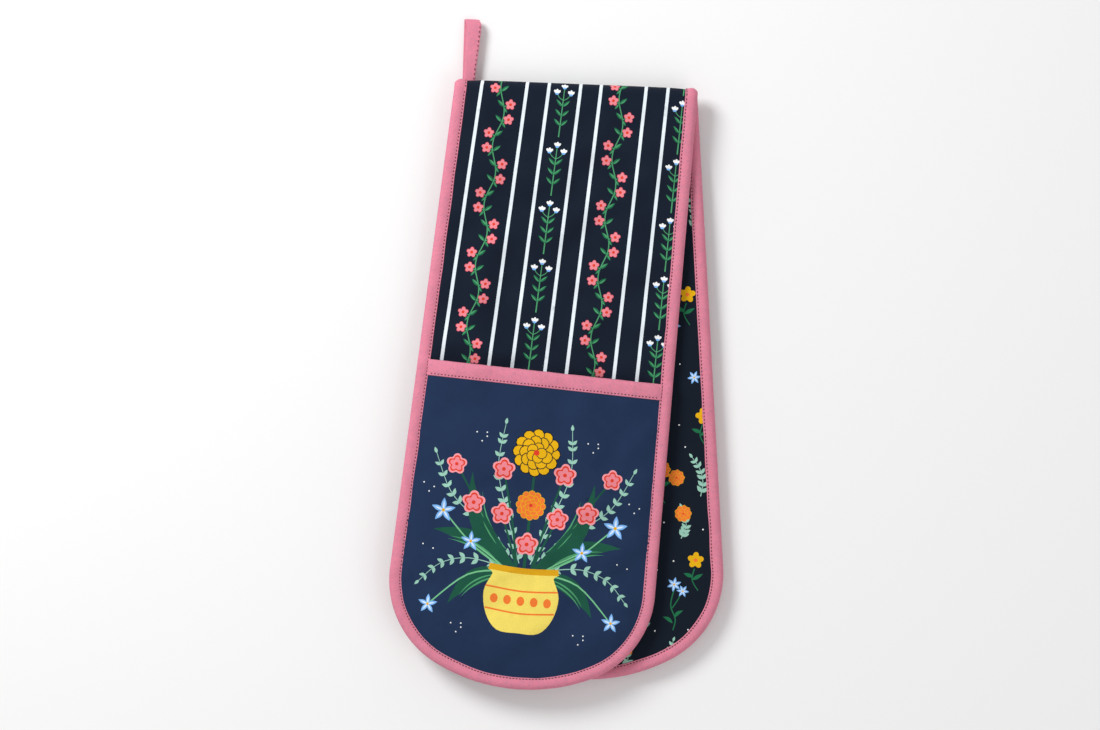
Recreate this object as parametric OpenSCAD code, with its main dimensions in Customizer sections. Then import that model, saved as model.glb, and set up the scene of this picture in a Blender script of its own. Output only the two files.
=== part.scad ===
// Double oven glove: one long padded strip with a hand pocket at each end,
// folded in half and lying flat, with the hand ends fanned apart. Millimetres.
// +X runs along the fold, +Y from the hand ends to the fold, +Z up.
// The origin is the middle of the glove's footprint, on the surface it lies on.

/* [Glove] */
// Width across the widest part of a hand end
hand_width = 192; // [180:1:210]
// Width at the fold
fold_width = 175; // [160:1:180]
// Front half's length, from the top of the fold to its finger end
front_length = 439; // [400:1:460]
// Back half's length, from the top of the fold to its finger end
back_length = 431; // [400:1:460]
// How far each half leans sideways, in degrees: the front to the left, the back to the right
lean = 4; // [0:0.1:5]
// Inside radius of the fold, which is half the gap between the two halves
fold_r = 1.5; // [1:0.1:8]

/* [Finger end] */
// Radius of the two rounded corners
corner_r = 70; // [60:1:74]
// Depth of the rounded end, from the corner centres to the tip
end_depth = 76; // [75:1:84]

/* [Pocket] */
// Length of a pocket, from its mouth to the finger end
pocket_length = 229; // [200:1:240]
// Room between the pocket and the strip
pocket_gap = 5.6; // [5.4:0.1:12]

/* [Cloth] */
// Thickness of the cotton cloths
cotton_t = 0.5; // [0.3:0.1:0.8]
// Thickness of the strip's wadding
strip_wadding_t = 3; // [2:0.5:6]
// Thickness of a pocket's wadding
pocket_wadding_t = 2; // [1:0.5:4]

/* [Binding] */
// Width of the edge binding that shows
binding_w = 9; // [8:0.2:12]
// Thickness of the binding tape, which is folded double
tape_t = 0.7; // [0.5:0.1:1]
// How far the padded layers stop short of the outer edge
turn_w = 3; // [2:0.5:4]
// Width of the mouth binding
mouth_binding_w = 10.6; // [8:0.2:14]

/* [Hanging loop] */
// How far the loop reaches past the start of the fold
loop_reach = 51; // [45:0.5:80]
// Width of the loop's tape
loop_w = 10; // [8:0.5:14]
// Distance of the loop's middle from the glove's left edge
loop_inset = 10.5; // [8:0.5:20]
// Room inside the loop, between its two plies
loop_gap = 4.6; // [4.4:0.1:8]

/* [Hidden] */
$fn = 96;

FRONT = 1;
BACK = -1;

// Colours
NAVY_STRIPED = [0.10, 0.14, 0.22];
NAVY_FLORAL = [0.09, 0.13, 0.20];
NAVY_PRINT = [0.13, 0.20, 0.31];
PINK = [0.87, 0.49, 0.56];
MAROON = [0.50, 0.13, 0.20];
WADDING = [0.93, 0.92, 0.88];

// Heights of the strip's layers above the binding's inner face
floral_at = tape_t;
wadding_at = floral_at + cotton_t;
striped_at = wadding_at + strip_wadding_t;
strip_top = striped_at + cotton_t;
strip_binding_top = strip_top + tape_t;

// Heights of the pocket's layers above the binding's inner face
lining_at = strip_top + pocket_gap;
pocket_wadding_at = lining_at + cotton_t;
print_at = pocket_wadding_at + pocket_wadding_t;
pocket_top = print_at + cotton_t;
mouth_leg_t = 0.6;
rest_clear = 0.3;
pocket_binding_top = pocket_top + mouth_leg_t + rest_clear;

// The pocket stops this far inside the binding, so that it can open
pocket_clear = 1;
pocket_inset = binding_w + pocket_clear;
mouth_turn = 2;

// Each half is measured along itself, down from the line where the fold starts
fold_out = fold_r + strip_binding_top;
function reach(side) = (side == FRONT ? front_length : back_length) - fold_out;
function mouth(side) = reach(side) - pocket_length;

// The rounded end: two corner arcs and a flatter tip arc that touches both
half_w = hand_width / 2;
tip_r = (pow(half_w - corner_r, 2) + pow(end_depth, 2) - pow(corner_r, 2))
    / (2 * (end_depth - corner_r));
function corner_centre(side) = [half_w - corner_r, end_depth - reach(side)];
function tip_centre(side) = [0, tip_r - reach(side)];
join_angle = atan2(end_depth - tip_r, half_w - corner_r);
arc_steps = 16;

// Thread, sewn in flush with the tape
thread_t = 0.2;
thread_w = 0.5;
stitch_inset = binding_w - 1.3;

// Loop: y and z are measured from the middle of the line where the fold starts
tape_ply = 0.9;
loop_r = loop_gap / 2 + tape_ply;
loop_x = loop_inset - fold_width / 2;
loop_ends_t = 1;
loop_ends_from = -14;
loop_ends_to = -2;
loop_clear = 0.45;
loop_z = -(fold_out + loop_ends_t + loop_clear + loop_r);
loop_root = 2;
loop_end = loop_reach - loop_r;
loop_stitch_inset = 1.4;

// Middle of the line where the fold starts, seen from the middle of the footprint
finger_end = cos(lean) * (tip_r - reach(FRONT)) - tip_r;
fold_centre = [
    (front_length - back_length) / 2 * sin(lean),
    -(loop_reach + finger_end) / 2,
    fold_r + pocket_binding_top
];

big = 600;

// Angle of the outward normal on the straight side, from the fold's corner to the corner arc
function side_angle(side) =
    let (v = [fold_width / 2, 0] - corner_centre(side))
    atan2(v.y, v.x) - acos(corner_r / norm(v));

function arc(centre, r, from, to) =
    [for (i = [0:arc_steps]) let (a = from + (to - from) * i / arc_steps)
        centre + r * [cos(a), sin(a)]];
function inner(points) = [for (i = [1:len(points) - 2]) points[i]];
function mirrored(points) = [for (i = [len(points) - 1:-1:0]) [-points[i].x, points[i].y]];

// Outline of one half before it leans, cut back by inset all round
module outline(side, inset) {
    above = 12;
    a = side_angle(side);
    n = [cos(a), sin(a)];
    top = [fold_width / 2, 0] - inset * n + above * [-n.y, n.x];
    right = concat([top], arc(corner_centre(side), corner_r - inset, a, join_angle));
    tip = inner(arc(tip_centre(side), tip_r - inset, join_angle, -180 - join_angle));
    polygon(concat(right, tip, mirrored(right)));
}

// The half's shape as it lies: leaned, and ending where the fold starts
module lying(side, inset) {
    intersection() {
        rotate(-side * lean) outline(side, inset);
        translate([-big / 2, -big]) square(big);
    }
}

// The part of that shape further than start from the fold, measured along the half
module beyond(side, inset, start) {
    intersection() {
        lying(side, inset);
        rotate(-side * lean) translate([-big / 2, -start - big]) square(big);
    }
}

// Thickens a flat shape in one half, from height s0 to s1 above the binding's inner face
module raise(side, s0, s1) {
    translate(fold_centre)
        mirror([0, 0, side == FRONT ? 0 : 1])
            translate([0, 0, fold_r + s0])
                linear_extrude(s1 - s0) children();
}

module strip_layer(side, s0, s1) {
    raise(side, s0, s1) lying(side, turn_w);
}

module pocket_layer(side, s0, s1) {
    raise(side, s0, s1) beyond(side, pocket_inset, mouth(side) + mouth_turn);
}

// A band that follows the edge, between two distances from it
module ring(side, from_edge, to_edge, s0, s1) {
    raise(side, s0, s1) difference() {
        lying(side, from_edge);
        lying(side, to_edge);
    }
}

// The same band, along the pocket only
module pocket_ring(side, from_edge, to_edge, s0, s1) {
    raise(side, s0, s1) difference() {
        beyond(side, from_edge, mouth(side));
        lying(side, to_edge);
    }
}

// Binding tape wrapped round the edge: round the strip, and round strip and pocket together
module edge_binding(side) {
    color(PINK) difference() {
        union() {
            ring(side, 0, binding_w, 0, strip_binding_top);
            pocket_ring(side, 0, binding_w, 0, pocket_binding_top);
        }
        strip_layer(side, floral_at, strip_top);
        raise(side, strip_top, pocket_binding_top - tape_t) beyond(side, turn_w, mouth(side));
        edge_stitching(side);
    }
}

// The pocket's edge, sewn down on the strip inside the binding
module pocket_seam(side) {
    color(NAVY_PRINT)
        pocket_ring(side, turn_w, binding_w, strip_top, pocket_binding_top - tape_t);
}

module edge_stitching(side) {
    outer = stitch_inset;
    far = stitch_inset + thread_w;
    color(MAROON) {
        difference() {
            ring(side, outer, far, strip_binding_top - thread_t, strip_binding_top);
            raise(side, strip_top, pocket_binding_top) beyond(side, 0, mouth(side));
        }
        pocket_ring(side, outer, far, pocket_binding_top - thread_t, pocket_binding_top);
    }
}

module striped_cloth(side) {
    color(NAVY_STRIPED) strip_layer(side, striped_at, strip_top);
}

module strip_wadding(side) {
    color(WADDING) strip_layer(side, wadding_at, striped_at);
}

module floral_cloth(side) {
    color(NAVY_FLORAL) strip_layer(side, floral_at, wadding_at);
}

module pocket_print(side) {
    color(NAVY_PRINT) pocket_layer(side, print_at, pocket_top);
}

module pocket_wadding(side) {
    color(WADDING) pocket_layer(side, pocket_wadding_at, print_at);
}

module pocket_lining(side) {
    color(NAVY_PRINT) pocket_layer(side, lining_at, pocket_wadding_at);
}

// Tape folded over the pocket's mouth
module mouth_binding(side) {
    color(PINK) difference() {
        raise(side, lining_at - mouth_leg_t, pocket_top + mouth_leg_t) difference() {
            beyond(side, pocket_inset, mouth(side));
            beyond(side, 0, mouth(side) + mouth_binding_w);
        }
        pocket_layer(side, lining_at, pocket_top);
        mouth_stitching(side);
    }
}

module mouth_stitching(side) {
    from = mouth(side) + mouth_binding_w - 1.6;
    top = pocket_top + mouth_leg_t;
    color(MAROON)
        raise(side, top - thread_t, top) difference() {
            beyond(side, pocket_inset + thread_w, from);
            beyond(side, 0, from + thread_w);
        }
}

// Half a tube round the fold's axis, from s0 to s1 above the binding's inner face
module bend(x0, x1, s0, s1) {
    translate(fold_centre) intersection() {
        translate([x0, 0, 0]) rotate([0, 90, 0]) difference() {
            cylinder(h = x1 - x0, r = fold_r + s1);
            translate([0, 0, -1]) cylinder(h = x1 - x0 + 2, r = fold_r + s0);
        }
        translate([-big / 2, 0, -big / 2]) cube(big);
    }
}

module bend_layer(s0, s1) {
    w = fold_width / 2 - turn_w;
    bend(-w, w, s0, s1);
}

module fold_striped_cloth() {
    color(NAVY_STRIPED) bend_layer(striped_at, strip_top);
}

module fold_wadding() {
    color(WADDING) bend_layer(wadding_at, striped_at);
}

module fold_floral_cloth() {
    color(NAVY_FLORAL) bend_layer(floral_at, wadding_at);
}

module fold_edge_binding() {
    w = fold_width / 2;
    color(PINK) difference() {
        union() {
            bend(-w, binding_w - w, 0, strip_binding_top);
            bend(w - binding_w, w, 0, strip_binding_top);
        }
        bend_layer(floral_at, strip_top);
        fold_edge_stitching();
    }
}

module fold_edge_stitching() {
    at = fold_width / 2 - stitch_inset;
    color(MAROON)
        for (x = [-at, at - thread_w])
            bend(x, x + thread_w, strip_binding_top - thread_t, strip_binding_top);
}

// The loop's two tape ends, sewn flat on the back half's binding
module loop_ends() {
    color(PINK)
        translate(fold_centre + [loop_x - loop_w / 2, loop_ends_from, -fold_out - loop_ends_t])
            cube([loop_w, loop_ends_to - loop_ends_from, loop_ends_t]);
}

// A flattened ring of tape, seen from the side
module loop_side(r) {
    for (y = [loop_root, loop_end])
        translate([y, 0]) circle(r = r);
    translate([loop_root, -r]) square([loop_end - loop_root, 2 * r]);
}

module hanging_loop() {
    color(PINK) difference() {
        translate(fold_centre + [loop_x - loop_w / 2, 0, loop_z])
            rotate([90, 0, 90])
                linear_extrude(loop_w) difference() {
                    loop_side(loop_r);
                    loop_side(loop_r - tape_ply);
                }
        loop_stitching();
    }
}

// One row of thread near the tape's right edge, on the upper ply
module loop_stitching() {
    x = loop_x + loop_w / 2 - loop_stitch_inset;
    color(MAROON)
        translate(fold_centre + [x, loop_root, loop_z + loop_r - thread_t])
            cube([thread_w, loop_end - loop_root, thread_t]);
}

striped_cloth(FRONT);  // front_striped_cloth
strip_wadding(FRONT);  // front_wadding
floral_cloth(FRONT);  // front_floral_cloth
edge_binding(FRONT);  // front_edge_binding
edge_stitching(FRONT);  // front_edge_stitching
pocket_seam(FRONT);  // front_pocket_seam
pocket_print(FRONT);  // front_pocket_print
pocket_wadding(FRONT);  // front_pocket_wadding
pocket_lining(FRONT);  // front_pocket_lining
mouth_binding(FRONT);  // front_mouth_binding
mouth_stitching(FRONT);  // front_mouth_stitching
striped_cloth(BACK);  // back_striped_cloth
strip_wadding(BACK);  // back_wadding
floral_cloth(BACK);  // back_floral_cloth
edge_binding(BACK);  // back_edge_binding
edge_stitching(BACK);  // back_edge_stitching
pocket_seam(BACK);  // back_pocket_seam
pocket_print(BACK);  // back_pocket_print
pocket_wadding(BACK);  // back_pocket_wadding
pocket_lining(BACK);  // back_pocket_lining
mouth_binding(BACK);  // back_mouth_binding
mouth_stitching(BACK);  // back_mouth_stitching
fold_striped_cloth();
fold_wadding();
fold_floral_cloth();
fold_edge_binding();
fold_edge_stitching();
loop_ends();
hanging_loop();
loop_stitching();
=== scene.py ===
"""Double oven glove, folded and lying flat: cloths, wadding, bindings, stitches and loop, round the frame.

Lengths are in millimetres until place() turns them into the frame's metres. In a half, x runs across it, y
runs back along it from the line where the fold starts (so it is negative all down the half), and h is the
height above the inner face of its binding. FRONT is the upper half and BACK the lower one, its mirror image.
"""
import math

import bpy
import numpy as np
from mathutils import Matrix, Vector
from mathutils.geometry import delaunay_2d_cdt


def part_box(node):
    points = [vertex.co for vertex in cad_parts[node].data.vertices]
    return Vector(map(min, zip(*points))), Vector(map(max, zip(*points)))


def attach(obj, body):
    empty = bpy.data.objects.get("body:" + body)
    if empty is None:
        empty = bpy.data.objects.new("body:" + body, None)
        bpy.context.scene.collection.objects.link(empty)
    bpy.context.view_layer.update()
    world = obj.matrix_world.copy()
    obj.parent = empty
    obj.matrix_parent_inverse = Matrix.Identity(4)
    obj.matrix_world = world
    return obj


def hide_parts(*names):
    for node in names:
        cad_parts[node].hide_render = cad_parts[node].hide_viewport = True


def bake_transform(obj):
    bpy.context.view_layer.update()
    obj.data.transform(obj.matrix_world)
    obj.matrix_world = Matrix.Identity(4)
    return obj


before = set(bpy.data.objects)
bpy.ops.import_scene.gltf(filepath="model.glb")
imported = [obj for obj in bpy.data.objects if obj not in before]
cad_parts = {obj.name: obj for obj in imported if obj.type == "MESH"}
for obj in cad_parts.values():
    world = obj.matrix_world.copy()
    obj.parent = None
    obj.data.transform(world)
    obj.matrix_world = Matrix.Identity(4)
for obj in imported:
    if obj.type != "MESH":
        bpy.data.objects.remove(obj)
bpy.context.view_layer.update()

# ---- sizes, in millimetres
MM = 0.001
FRONT, BACK = 1, -1
WORD = {FRONT: "front", BACK: "back"}
HALF = {FRONT: "front_half", BACK: "back_half"}

HAND_WIDTH = 192.0
FOLD_WIDTH = 175.0
LEAN = math.radians(4.0)  # of each half, to its own side
FOLD_R = 1.5  # of the floral cloth's inside, round the fold
TOP_R = FOLD_R + 4.6  # of the striped cloth
BOTTOM_R = FOLD_R + 0.9  # of the floral cloth
FOLD_LENGTH = math.pi * TOP_R
CORNER_R = 70.0
END_DEPTH = 76.0
POCKET_LENGTH = 229.0
BINDING_W = 9.0
MOUTH_W = 10.6
HALF_W = HAND_WIDTH / 2
TIP_R = ((HALF_W - CORNER_R) ** 2 + END_DEPTH**2 - CORNER_R**2) / (2 * (END_DEPTH - CORNER_R))
JOIN = math.atan2(END_DEPTH - TIP_R, HALF_W - CORNER_R)


def cad(node):
    """A CAD node's lowest and highest corners, in millimetres."""
    return [np.array(corner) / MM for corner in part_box(node)]


low, high = cad("fold_striped_cloth")
FOLD = np.array([(low[0] + high[0]) / 2, low[1], (low[2] + high[2]) / 2])
REACH = {}
for each in (FRONT, BACK):
    tip = cad(WORD[each] + "_edge_binding")[0][1] - FOLD[1]
    REACH[each] = TIP_R - (tip + TIP_R) / math.cos(LEAN)
MOUTH = {each: REACH[each] - POCKET_LENGTH for each in (FRONT, BACK)}

# Cloth and tape
CLOTH_T = 0.45
PLY_GAP = 0.35  # room between a cloth and its wadding
TAPE_T = 0.5
TUCK = 3.0  # how far inside the binding's outer edge the strip's cloths are cut
STITCH_PITCH = 2.5
STITCH_LENGTH = 1.75
STITCH_WIDTH = 0.85
STITCH_E = BINDING_W - 1.15  # the edge stitches' distance from the outer edge
GRID = 3.0  # the spacing of the cloths' points
WADDING_GRID = 6.0
FOLD_GRID = 0.75


def columns(*values):
    """Arrays or numbers side by side, as the coordinates of points."""
    return np.stack(np.broadcast_arrays(*values), axis=-1)


def unit(vectors):
    return vectors / np.linalg.norm(vectors, axis=-1, keepdims=True)


def lengths_along(line):
    """How far along a line each of its points lies."""
    return np.concatenate([[0], np.cumsum(np.linalg.norm(np.diff(line, axis=0), axis=1))])


def turned(side):
    """The angle by which a half leans, seen from above."""
    return -side * LEAN


def place(side, x, y, h):
    """Points of a half in the frame, in metres."""
    a = turned(side)
    return columns(FOLD[0] + x * math.cos(a) - y * math.sin(a), FOLD[1] + x * math.sin(a) + y * math.cos(a),
                   FOLD[2] + side * (FOLD_R + h)) * MM


def place_bend(x, r, angle):
    """Points of the fold in the frame: angle 0 is at the back half's start and pi at the front half's."""
    return columns(FOLD[0] + x, FOLD[1] + r * np.sin(angle), FOLD[2] - r * np.cos(angle)) * MM


# ---- outline of a half
def corner_centre(side):
    """The centre of the right-hand corner's arc."""
    return np.array([HALF_W - CORNER_R, END_DEPTH - REACH[side]])


def side_angle(side):
    """The heading of the right side's outward normal."""
    v = np.array([FOLD_WIDTH / 2, 0.0]) - corner_centre(side)
    return math.atan2(v[1], v[0]) - math.acos(CORNER_R / np.linalg.norm(v))


def inward(side, x, y):
    """How far each point lies inside the outline."""
    a, c = side_angle(side), corner_centre(side)
    ax, y = np.abs(x), np.asarray(y, float)
    vx, vy = ax - c[0], y - c[1]
    e = CORNER_R - (vx * math.cos(a) + vy * math.sin(a))
    at = np.arctan2(vy, vx)
    e = np.where((at <= a) & (at >= JOIN), CORNER_R - np.hypot(vx, vy), e)
    ty = y - (TIP_R - REACH[side])
    return np.where(np.arctan2(ty, ax) < JOIN, TIP_R - np.hypot(ax, ty), e)


def edge_path(side, inset, step):
    """The edge from the fold's right end round to its left end: points, outward normals, lengths along it."""
    a, c = side_angle(side), corner_centre(side)
    t = np.array([0.0, TIP_R - REACH[side]])

    def arc(centre, r, start, end):
        angles = np.linspace(start, end, 60)
        out = columns(np.cos(angles), np.sin(angles))
        return centre + r * out, out

    n = np.array([math.cos(a), math.sin(a)])
    up = np.array([-n[1], n[0]])
    foot = c + (CORNER_R - inset) * n
    ends = []  # where the straight sides meet the line where the fold starts
    for flip in (1, -1):
        q, u = foot * [flip, 1], up * [flip, 1]
        s, k = math.sin(turned(side)), math.cos(turned(side))
        ends.append(q - u * (q[0] * s + q[1] * k) / (u[0] * s + u[1] * k))
    parts = [
        (np.array([ends[0]]), np.array([n])),
        arc(c, CORNER_R - inset, a, JOIN),
        arc(t, TIP_R - inset, JOIN, -math.pi - JOIN),
        arc(c * [-1, 1], CORNER_R - inset, -math.pi - JOIN, -math.pi - a),
        (np.array([ends[1]]), np.array([n * [-1, 1]])),
    ]
    points = np.concatenate([p for p, _ in parts])
    normals = np.concatenate([m for _, m in parts])
    along = lengths_along(points)
    keep = np.concatenate([[True], np.diff(along) > 1e-6])
    points, normals, along = points[keep], normals[keep], along[keep]
    at = np.linspace(0, along[-1], int(along[-1] / step) + 1)
    p, m = (columns(*[np.interp(at, along, each[:, k]) for k in (0, 1)]) for each in (points, normals))
    return p, unit(m), at


# ---- wrinkles, by cloth simulation
def blurred(field, cells):
    """A grid of heights, smoothed over a number of cells."""
    k = np.exp(-0.5 * (np.arange(-3 * cells, 3 * cells + 1) / cells) ** 2)
    k /= k.sum()
    for axis in (0, 1):
        pad = [(3 * cells, 3 * cells) if i == axis else (0, 0) for i in (0, 1)]
        wide = np.pad(field, pad, mode="edge")
        field = np.apply_along_axis(lambda row: np.convolve(row, k, mode="valid"), axis, wide)
    return field


class Wrinkles:
    """The wrinkles of a panel that is sewn down all round and cut slightly too large for its place."""

    STEP = 4.0
    UNIT = 0.01  # the simulation's metres for each millimetre
    FRAMES = 36
    HALF_SPAN = 92

    def __init__(self, name, top, bottom, slack, pressure, seed):
        self.xs = np.arange(-self.HALF_SPAN, self.HALF_SPAN + 0.1, self.STEP)
        self.ys = np.arange(bottom, top + 0.1, self.STEP)
        self.z = np.zeros((len(self.ys), len(self.xs)))
        self.simulate(name, slack, pressure, seed)

    def simulate(self, name, slack, pressure, seed):
        nx, ny = len(self.xs), len(self.ys)
        gx, gy = np.meshgrid(self.xs, self.ys)
        noise = np.random.default_rng(seed).normal(0, 0.25, gx.shape)
        start = columns(gx, gy, noise).reshape(-1, 3) * self.UNIT
        quads = [(j * nx + i, j * nx + i + 1, (j + 1) * nx + i + 1, (j + 1) * nx + i)
                 for j in range(ny - 1) for i in range(nx - 1)]
        mesh = bpy.data.meshes.new(name)
        mesh.from_pydata(start.tolist(), [], quads)
        panel = bpy.data.objects.new(name, mesh)
        bpy.context.scene.collection.objects.link(panel)
        held = panel.vertex_groups.new(name="held")
        fixed = (inward(FRONT, gx, gy) < BINDING_W + 0.5) | (gy >= self.ys[-1]) | (gy <= self.ys[0])
        held.add([int(i) for i in np.flatnonzero(fixed)], 1.0, "REPLACE")
        cloth = panel.modifiers.new("cloth", "CLOTH")
        s = cloth.settings
        s.quality, s.mass = 6, 0.2
        s.tension_stiffness = s.compression_stiffness = 20
        s.shear_stiffness, s.bending_stiffness = 10, 0.3
        s.vertex_group_mass = "held"
        s.shrink_min = s.shrink_max = -slack
        s.use_pressure, s.uniform_pressure_force = True, pressure
        s.effector_weights.gravity = 0
        cloth.point_cache.frame_end = self.FRAMES
        for number in range(1, self.FRAMES + 1):
            bpy.context.scene.frame_set(number)
        shown = panel.evaluated_get(bpy.context.evaluated_depsgraph_get())
        settled = shown.to_mesh()
        co = np.zeros(len(settled.vertices) * 3)
        settled.vertices.foreach_get("co", co)
        shown.to_mesh_clear()
        bpy.data.objects.remove(panel)
        bpy.data.meshes.remove(mesh)
        bpy.context.scene.frame_set(1)
        z = co.reshape(ny, nx, 3)[:, :, 2] / self.UNIT
        self.z = blurred(z, 1) - blurred(z, 4)

    def __call__(self, x, y):
        """Height at any place, by a smooth curve through the nearest four by four grid points."""
        x, y = np.broadcast_arrays(np.asarray(x, float), np.asarray(y, float))
        fx = np.clip((x - self.xs[0]) / self.STEP, 0, len(self.xs) - 1.001)
        fy = np.clip((y - self.ys[0]) / self.STEP, 0, len(self.ys) - 1.001)
        ix, iy = fx.astype(int), fy.astype(int)

        def weights(t):
            return (0.5 * (-t + 2 * t**2 - t**3), 0.5 * (2 - 5 * t**2 + 3 * t**3),
                    0.5 * (t + 4 * t**2 - 3 * t**3), 0.5 * (t**3 - t**2))

        wx, wy = weights(fx - ix), weights(fy - iy)
        total = 0
        for j in range(4):
            for i in range(4):
                row = np.clip(iy + j - 1, 0, len(self.ys) - 1)
                col = np.clip(ix + i - 1, 0, len(self.xs) - 1)
                total = total + wy[j] * wx[i] * self.z[row, col]
        return total


def ripple(s, seed, longest, shortest, size):
    """A gentle irregular wave along a length."""
    terms = 6
    rng = np.random.default_rng(seed)
    total = 0
    for _ in range(terms):
        wave = rng.uniform(shortest, longest)
        phase = 2 * math.pi * np.asarray(s) / wave + rng.uniform(0, 6.3)
        total = total + math.sqrt(wave / longest) * np.sin(phase)
    return size * total / math.sqrt(terms)


def smooth(t):
    """From 0 to 1 as t does, level at both ends."""
    t = np.clip(t, 0, 1)
    return t * t * (3 - 2 * t)


# ---- surfaces of a half, as heights
strip_folds = Wrinkles("strip_settling", 0, -REACH[FRONT] + 4, 0.014, 0.02, 5)
pocket_folds = Wrinkles("pocket_settling", -MOUTH[FRONT], -REACH[FRONT] + 4, 0.012, 0.05, 8)


def strip_top(side, x, y):
    """The striped cloth's face: pressed under the binding, fuller in the middle, and creased across."""
    e = inward(side, x, y)
    full = 3.9 + 0.9 * (1 - np.exp(-np.maximum(e - 7, 0) / 8))
    full = full - 1.1 * np.exp(-(((-y - MOUTH[side]) / 9) ** 2)) * smooth((e - 8) / 12)
    away = smooth(-y / 25) * smooth((e - 6) / 6)
    across = ripple(y + 0.08 * x, 11, 46, 13, 0.55) * smooth((-y - 90) / 60)
    return full + away * (1.5 * strip_folds(side * x, y) + across)


def strip_bottom(side, x, y):
    """The floral cloth's face."""
    e = inward(side, x, y)
    away = smooth(-y / 25) * smooth((e - 6) / 6)
    return 1.1 - 0.4 * (1 - np.exp(-np.maximum(e - 7, 0) / 8)) - away * 0.25 * strip_folds(-side * x, y - 3)


def pocket_top(side, x, y):
    """The printed cloth's face: a low pillow that the mouth's tape holds a little flatter."""
    e = inward(side, x, y)
    below = smooth((-y - MOUTH[side]) / 70)
    pillow = (5.4 + 0.9 * below) * (1 - np.exp(-np.maximum(e - 7.5, 0) / 15))
    crease = 1.3 * pocket_folds(side * x, y - (REACH[FRONT] - REACH[side])) * smooth((e - 6) / 7)
    h = 7.0 + pillow + crease
    highest, ease = 13.2, 0.6
    return np.where(h > highest, highest + ease * np.tanh((h - highest) / ease), h)


def pocket_bottom(side, x, y):
    """The lining's face, inside the pocket."""
    e = inward(side, x, y)
    return pocket_top(side, x, y) - 2.0 - 1.1 * smooth((e - 6) / 16)


def lift(height, by):
    """The surface that lies above another by a distance."""
    return lambda side, x, y: height(side, x, y) + by


# ---- materials
def linear(code):
    """A colour code in scene-linear light."""
    parts = [int(code[i:i + 2], 16) / 255 for i in (0, 2, 4)]
    return [c / 12.92 if c <= 0.04045 else ((c + 0.055) / 1.055) ** 2.4 for c in parts] + [1.0]


class Nodes:
    """A material's node tree, built a node at a time."""

    def __init__(self, name):
        self.material = bpy.data.materials.new(name)
        self.material.use_nodes = True
        self.tree = self.material.node_tree
        self.shader = self.tree.nodes["Principled BSDF"]

    def add(self, kind, links=(), **values):
        node = self.tree.nodes.new(kind)
        for key, value in values.items():
            if key in node.inputs:
                node.inputs[key].default_value = value
            else:
                setattr(node, key, value)
        for socket, source in dict(links).items():
            self.tree.links.new(source, node.inputs[socket])
        return node

    def link(self, source, socket):
        self.tree.links.new(source, self.shader.inputs[socket])

    def set(self, values):
        for socket, value in values.items():
            self.shader.inputs[socket].default_value = value

    def spread(self, source, low, high, start=0.0, end=1.0):
        """source's run from start to end, stretched to run from low to high."""
        limits = {"From Min": start, "From Max": end, "To Min": low, "To Max": high}
        return self.add("ShaderNodeMapRange", {"Value": source}, **limits).outputs[0]

    def noise(self, place_at, scale, detail=2.0, **values):
        made = self.add("ShaderNodeTexNoise", {"Vector": place_at}, Scale=scale, Detail=detail, **values)
        return made.outputs["Fac"]

    def math(self, operation, first, second):
        return self.add("ShaderNodeMath", {0: first, 1: second}, operation=operation).outputs[0]

    def mix(self, links, kind="MIX"):
        """A mix of the colours in sockets 6 and 7, all of it unless socket 0 is linked."""
        made = self.add("ShaderNodeMix", links, data_type="RGBA", blend_type=kind)
        if 0 not in links:
            made.inputs[0].default_value = 1.0
        return made


def woven(name, code, pitch=0.42, depth=0.10, shade=0.10, bias=0.0, heather="", crumple=0.0):
    """Plain-woven cotton: two ways of threads, uneven dye, loose fibres, and heather or crumples if asked."""
    n = Nodes(name)
    flat = n.add("ShaderNodeUVMap", uv_map="flat").outputs["UV"]
    grain = n.add("ShaderNodeVectorRotate", {"Vector": flat}, Angle=bias).outputs["Vector"]
    threads = []
    for direction in ("X", "Y"):
        wave = n.add("ShaderNodeTexWave", {"Vector": grain}, wave_type="BANDS", bands_direction=direction,
                     Scale=math.pi / (10 * pitch * MM), Distortion=0.5, Detail=1.0)
        threads.append(wave.outputs["Fac"])
    weave = n.math("MAXIMUM", *threads)
    dye = n.noise(flat, 70.0, 6.0, Roughness=0.65)
    fibre = n.noise(grain, 1300.0)
    uneven = n.spread(n.math("ADD", dye, fibre), 1 - shade, 1 + shade, 0.7, 1.3)
    yarn = n.add("ShaderNodeRGB").outputs[0]
    yarn.default_value = linear(code)
    if heather:
        long_fibres = n.add("ShaderNodeMapping", {"Vector": grain})
        long_fibres.inputs["Scale"].default_value = (260.0, 1500.0, 1.0)
        flecks = n.noise(long_fibres.outputs[0], 1.0, 3.0)
        two_yarns = n.mix({0: n.spread(flecks, 0.0, 1.0, 0.46, 0.74), 6: yarn})
        two_yarns.inputs[7].default_value = linear(heather)
        yarn = two_yarns.outputs[2]
    n.link(n.mix({6: yarn, 7: uneven}, "MULTIPLY").outputs[2], "Base Color")
    n.link(n.spread(fibre, 0.80, 0.95), "Roughness")
    relief = n.math("ADD", weave, fibre)
    bump = n.add("ShaderNodeBump", {"Height": relief}, Strength=0.35, Distance=depth * MM)
    if crumple:
        creases = n.noise(flat, crumple, 3.0)
        soft = n.add("ShaderNodeBump", {"Height": creases}, Strength=0.4, Distance=0.8 * MM)
        n.tree.links.new(soft.outputs[0], bump.inputs["Normal"])
    n.link(bump.outputs[0], "Normal")
    n.set({"Sheen Weight": 0.04, "Sheen Roughness": 0.5, "Specular IOR Level": 0.12})
    return n.material


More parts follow.
